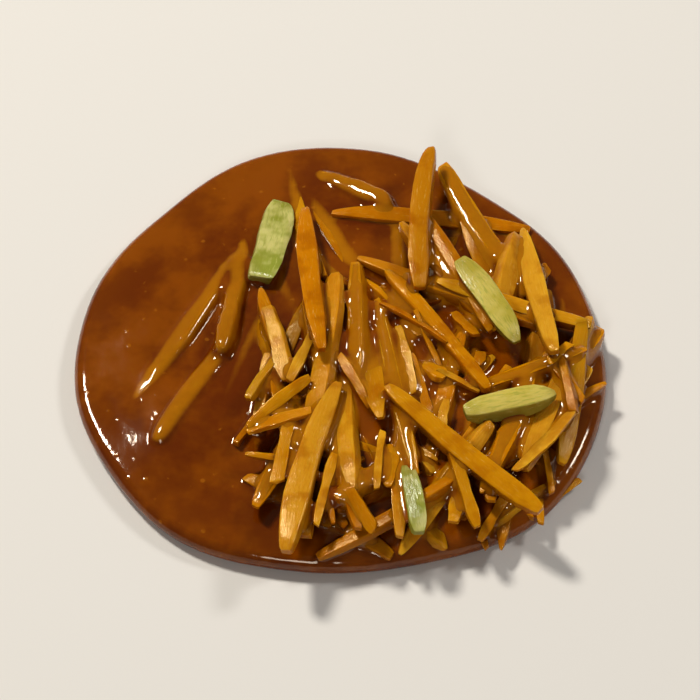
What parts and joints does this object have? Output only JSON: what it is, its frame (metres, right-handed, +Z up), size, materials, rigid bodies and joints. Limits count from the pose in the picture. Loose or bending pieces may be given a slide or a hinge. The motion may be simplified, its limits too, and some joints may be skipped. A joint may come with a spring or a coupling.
{
  "type": "almond sohan",
  "caption": "Round honey brittle sweet with slivered almonds set in glossy amber caramel and pistachio slivers on top, lying flat.",
  "frame": {"origin": "middle of the flat underside, on the surface that the sweet lies on", "axes": "+Z up through the thickness; -Y towards the viewer of the picture, and +X to their right"},
  "size_m": [0.0543, 0.0543, 0.0079],
  "materials": {
    "caramel": "glossy amber-brown honey caramel, slightly see-through",
    "almond": "golden toasted almond under a thin honey glaze",
    "pistachio": "pale green pistachio, lightly glazed"
  },
  "bodies": {
    "root": {"sohan": "caramel"}
  },
  "joints": []
}
